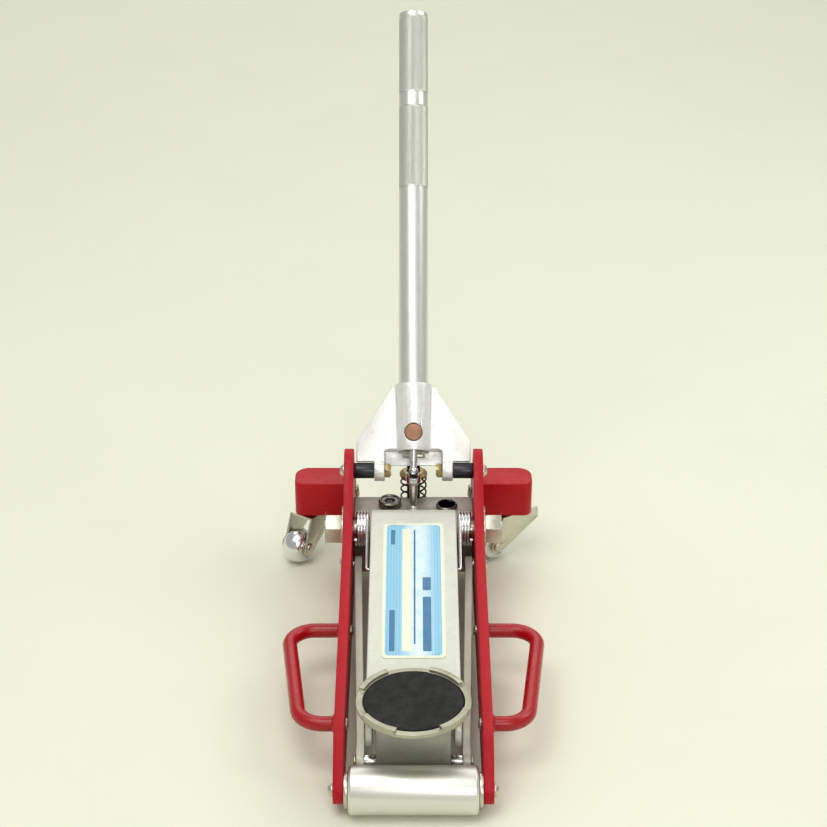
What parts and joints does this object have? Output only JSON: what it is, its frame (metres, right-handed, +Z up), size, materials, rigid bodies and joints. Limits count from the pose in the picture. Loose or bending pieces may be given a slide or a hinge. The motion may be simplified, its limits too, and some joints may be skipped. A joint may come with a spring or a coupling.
{
  "type": "hydraulic floor jack",
  "caption": "Low hydraulic floor jack: pumped handle, lifting arm with level saddle, front roller, swivel casters and side carry handles.",
  "frame": {"origin": "on the floor, below the main lift shaft, midway between the side plates", "axes": "+Z up; the front roller faces -Y and the handle leans back towards +Y; +X is to the right seen from the front roller"},
  "size_m": [0.2551, 0.6641, 0.4953],
  "materials": {
    "red_anodised": "satin red",
    "red_bar": "glossy red",
    "zinc": "bright zinc",
    "roller_aluminium": "turned",
    "cast_body": "cast, painted",
    "dark_steel": "oiled black",
    "plug_steel": "machined",
    "brass": "tarnished",
    "chrome_parts": "polished",
    "bare_aluminium": "satin",
    "arm_silver": "silver paint",
    "nameplate_foil": "printed foil",
    "copper": "dull copper",
    "bushing_black": "black",
    "saddle_steel": "worn steel",
    "rubber_pad": "ribbed rubber"
  },
  "bodies": {
    "frame": {"side_plate_left": "red_anodised", "side_plate_right": "red_anodised", "front_axle": "zinc", "front_axle_screws": "zinc", "roller_washers": "zinc", "main_shaft": "zinc", "main_shaft_washers": "zinc", "main_shaft_nuts": "zinc", "link_pivot_bolts": "zinc", "power_unit_block": "cast_body", "frame_bolts": "zinc", "ram_cylinder": "dark_steel", "oil_reservoir": "cast_body", "filler_plug": "dark_steel", "relief_plug": "plug_steel", "pump_barrel": "dark_steel", "pump_spring": "dark_steel", "release_valve_gland": "bare_aluminium", "rear_tie_bar": "zinc", "caster_block_left": "red_anodised", "caster_block_right": "red_anodised", "caster_block_screws": "zinc", "carry_handle_left": "red_bar", "carry_handle_right": "red_bar", "carry_handle_screws": "zinc", "yoke_pivot_bolts": "zinc", "yoke_bushings": "bushing_black", "yoke_pivot_nuts": "brass"},
    "roller": {"front_roller": "roller_aluminium"},
    "arm": {"lift_arm": "arm_silver", "nameplate": "nameplate_foil", "horn_pins": "zinc", "arm_front_pin": "zinc", "return_springs": "chrome_parts"},
    "bracket": {"saddle_bracket": "cast_body", "bracket_link_pin": "zinc", "link_pin_spacers": "zinc"},
    "saddle": {"saddle_cup": "saddle_steel", "saddle_pad": "rubber_pad", "saddle_retaining_ring": "zinc"},
    "links": {"radius_link_left": "zinc", "radius_link_right": "zinc"},
    "ram": {"ram_rod": "chrome_parts", "ram_crosshead": "cast_body", "ram_straps": "zinc"},
    "yoke": {"handle_yoke": "arm_silver", "socket_plug": "copper", "pump_cam_roller": "zinc"},
    "handle": {"handle_tube": "bare_aluminium", "handle_drive_plug": "chrome_parts"},
    "valve": {"release_shaft": "chrome_parts"},
    "pump": {"pump_piston": "dark_steel", "spring_retainer": "brass"},
    "swivel_left": {"caster_fork_left": "zinc", "caster_axle_left": "zinc"},
    "wheel_left": {"caster_wheel_left": "chrome_parts"},
    "swivel_right": {"caster_fork_right": "zinc", "caster_axle_right": "zinc"},
    "wheel_right": {"caster_wheel_right": "chrome_parts"}
  },
  "joints": [
    {"name": "front_roller_spin", "type": "hinge", "parent": "frame", "child": "roller", "pos_m": [0, -0.314, 0.0204], "axis": [1, 0, 0], "continuous": true},
    {"name": "arm_lift", "type": "hinge", "parent": "frame", "child": "arm", "pos_m": [0, 0, 0.083], "axis": [-1, 0, 0], "range_deg": [0, 60]},
    {"name": "saddle_level", "type": "hinge", "parent": "arm", "child": "bracket", "pos_m": [0, -0.266, 0.054], "axis": [-1, 0, 0], "range_deg": [-60, 0]},
    {"name": "saddle_swivel", "type": "hinge", "parent": "bracket", "child": "saddle", "pos_m": [0, -0.2803, 0.075], "axis": [0, 0, 1], "continuous": true},
    {"name": "radius_links", "type": "hinge", "parent": "frame", "child": "links", "pos_m": [0, -0.01, 0.05], "axis": [-1, 0, 0], "range_deg": [0, 60]},
    {"name": "ram_stroke", "type": "slide", "parent": "frame", "child": "ram", "axis": [0, -1, 0], "range_m": [0, 0.02802]},
    {"name": "handle_pump", "type": "hinge", "parent": "frame", "child": "yoke", "pos_m": [0, 0.047, 0.12], "axis": [-1, 0, 0], "range_deg": [-25, 30]},
    {"name": "handle_twist", "type": "hinge", "parent": "yoke", "child": "handle", "pos_m": [0, 0.047, 0.12], "axis": [0, 0.5948, 0.8039], "range_deg": [0, 120]},
    {"name": "release_valve", "type": "hinge", "parent": "frame", "child": "valve", "pos_m": [0, 0.047, 0.12], "axis": [0, 0.2545, 0.9671], "range_deg": [0, 120]},
    {"name": "pump_stroke", "type": "slide", "parent": "frame", "child": "pump", "axis": [0, 0, 1], "range_m": [-0.0118, 0.00984], "deforming": ["pump_spring"]},
    {"name": "left_caster_swivel", "type": "hinge", "parent": "frame", "child": "swivel_left", "pos_m": [-0.0995, 0.101, 0.06], "axis": [0, 0, 1], "continuous": true},
    {"name": "left_caster_wheel", "type": "hinge", "parent": "swivel_left", "child": "wheel_left", "pos_m": [-0.11381, 0.07929, 0.0175], "axis": [0.8348, -0.5505, 0], "continuous": true},
    {"name": "right_caster_swivel", "type": "hinge", "parent": "frame", "child": "swivel_right", "pos_m": [0.0995, 0.101, 0.06], "axis": [0, 0, 1], "continuous": true},
    {"name": "right_caster_wheel", "type": "hinge", "parent": "swivel_right", "child": "wheel_right", "pos_m": [0.07762, 0.08695, 0.0175], "axis": [0.5402, -0.8415, 0], "continuous": true}
  ],
  "couplings": [
    {"joint": "saddle_level", "follows": "arm_lift", "ratio": -1},
    {"joint": "radius_links", "follows": "arm_lift", "ratio": 1},
    {"joint": "ram_stroke", "follows": "arm_lift", "m_per_rad": 0.026738},
    {"joint": "pump_stroke", "follows": "handle_pump", "m_per_rad": -0.0225},
    {"joint": "release_valve", "follows": "handle_twist", "ratio": 1}
  ]
}
